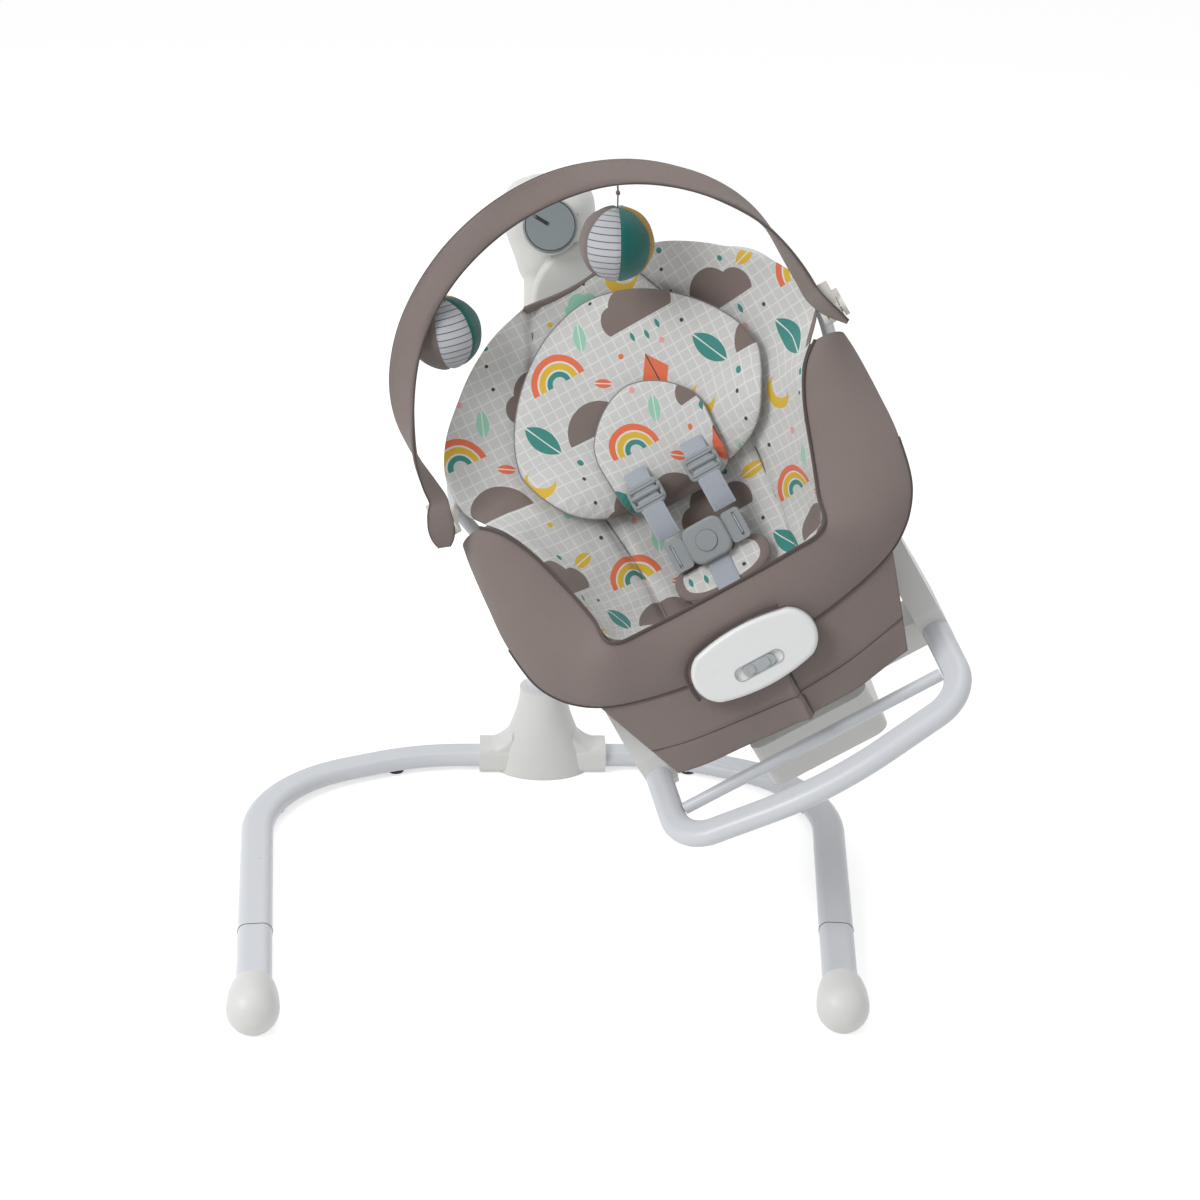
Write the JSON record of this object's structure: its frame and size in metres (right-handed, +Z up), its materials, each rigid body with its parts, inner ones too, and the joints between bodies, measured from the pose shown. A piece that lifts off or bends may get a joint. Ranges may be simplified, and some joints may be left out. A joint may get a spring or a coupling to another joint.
{
  "type": "baby sway swing with rocker seat",
  "caption": "White side-to-side baby swing on a floor frame, with a padded lift-off rocker seat, harness, toy bar, speed dial and vibration unit.",
  "frame": {"origin": "on the floor under the mast's axis, at the hub's underside", "axes": "+X to the viewer's right, -Y to the front, +Z up"},
  "size_m": [0.7554, 0.619, 0.7747],
  "materials": {
    "white_plastic": "satin white moulding",
    "white_tube": "white powder coat",
    "grey_plastic": "fine matt texture",
    "black_plastic": "matt",
    "gear_plastic": "bare nylon",
    "rubber": "matt",
    "steel": "bright",
    "bronze": "sintered",
    "circuit_board": "solder mask",
    "battery_jacket": "wrapped",
    "liner_fabric": "pale grey print on soft knit",
    "taupe_fabric": "soft woven",
    "webbing": "flat woven",
    "toy_fabric": "short pile"
  },
  "bodies": {
    "base": {"hub_shell": "white_plastic", "hub_base": "white_plastic", "hub_screws": "steel", "mast_tube": "white_tube", "rear_tube_left": "white_tube", "rear_tube_right": "white_tube", "front_tube_left": "white_tube", "front_tube_right": "white_tube", "front_feet": "white_plastic", "floor_pads": "rubber", "snap_buttons": "steel", "head_core": "white_plastic", "head_back_cover": "white_plastic", "head_front_cover": "white_plastic", "shaft_bushes": "bronze", "drive_plate": "black_plastic", "drive_motor": "steel", "control_board": "circuit_board"},
    "dial": {"speed_dial": "grey_plastic"},
    "pinion": {"drive_pinion": "gear_plastic"},
    "arm": {"sway_shaft": "steel", "sway_gear": "gear_plastic", "arm_root": "steel", "arm_shroud": "white_plastic", "swing_arm_tube": "white_tube", "seat_carrier": "white_plastic"},
    "lever": {"release_lever": "white_plastic"},
    "seat": {"side_bracket_left": "white_plastic", "side_bracket_right": "white_plastic", "toe_bar": "white_tube", "toe_crossbar": "white_tube", "rear_rail": "white_tube", "seat_hoop": "white_tube", "lip_tube": "white_tube", "seat_base": "white_plastic", "seat_liner": "liner_fabric", "head_pillow": "liner_fabric", "body_support": "liner_fabric", "front_bolster": "taupe_fabric", "front_skirt": "taupe_fabric", "crotch_pad": "liner_fabric", "shoulder_straps": "webbing", "strap_adjusters": "grey_plastic", "buckle_body": "grey_plastic", "buckle_tongues": "grey_plastic", "waist_straps": "webbing", "crotch_strap": "webbing", "control_panel": "white_plastic", "vibration_housing": "white_plastic", "panel_screws": "steel", "battery_door": "white_plastic", "battery_cell": "battery_jacket", "vibration_motor": "steel", "toy_clips": "white_plastic"},
    "button": {"buckle_button": "grey_plastic"},
    "switch": {"slide_switch": "grey_plastic"},
    "weight": {"eccentric_weight": "steel"},
    "bar": {"toy_bar": "taupe_fabric"},
    "ball_1": {"toy_ball_1": "toy_fabric"},
    "ball_2": {"toy_ball_2": "toy_fabric"}
  },
  "joints": [
    {"name": "sway", "type": "hinge", "parent": "base", "child": "arm", "pos_m": [0, 0, 0.669], "axis": [0, -1, 0], "range_deg": [-62.52, 0]},
    {"name": "pinion_spin", "type": "hinge", "parent": "base", "child": "pinion", "pos_m": [0, 0, 0.6975], "axis": [0, -1, 0], "range_deg": [0, 176]},
    {"name": "dial_turn", "type": "hinge", "parent": "base", "child": "dial", "pos_m": [0, -0.068, 0.68], "axis": [0, -0.9659, 0.2588], "range_deg": [-240, 0]},
    {"name": "lever_pull", "type": "hinge", "parent": "arm", "child": "lever", "pos_m": [0.2989, -0.232, 0.17662], "axis": [0.8548, 0, 0.5189], "range_deg": [0, 20], "stiffness_Nm_per_rad": 0.5, "springref_deg": -11.46},
    {"name": "seat_lift", "type": "slide", "parent": "arm", "child": "seat", "axis": [-0.3114, -0.8, 0.5129], "range_m": [0, 0.15]},
    {"name": "button_press", "type": "slide", "parent": "seat", "child": "button", "axis": [0.2166, 0.9087, -0.3569], "range_m": [0, 0.0025], "stiffness_N_per_m": 300, "springref_m": -0.002},
    {"name": "switch_slide", "type": "slide", "parent": "seat", "child": "switch", "axis": [0.8548, 0, 0.5189], "range_m": [-0.008, 0.008]},
    {"name": "weight_spin", "type": "hinge", "parent": "seat", "child": "weight", "pos_m": [0.2468, -0.39, 0.33568], "axis": [0.8548, 0, 0.5189], "continuous": true},
    {"name": "bar_swing", "type": "hinge", "parent": "seat", "child": "bar", "pos_m": [0.0861, -0.271, 0.52717], "axis": [0.8548, 0, 0.5189], "range_deg": [0, 60]},
    {"name": "ball_1_swing", "type": "hinge", "parent": "bar", "child": "ball_1", "pos_m": [0.06481, -0.1941, 0.7426], "axis": [0, -1, 0], "range_deg": [-35, 35]},
    {"name": "ball_2_swing", "type": "hinge", "parent": "bar", "child": "ball_2", "pos_m": [-0.1089, -0.18118, 0.64936], "axis": [0, -1, 0], "range_deg": [0, 25]}
  ],
  "couplings": [
    {"joint": "pinion_spin", "follows": "sway", "ratio": -2.8}
  ]
}
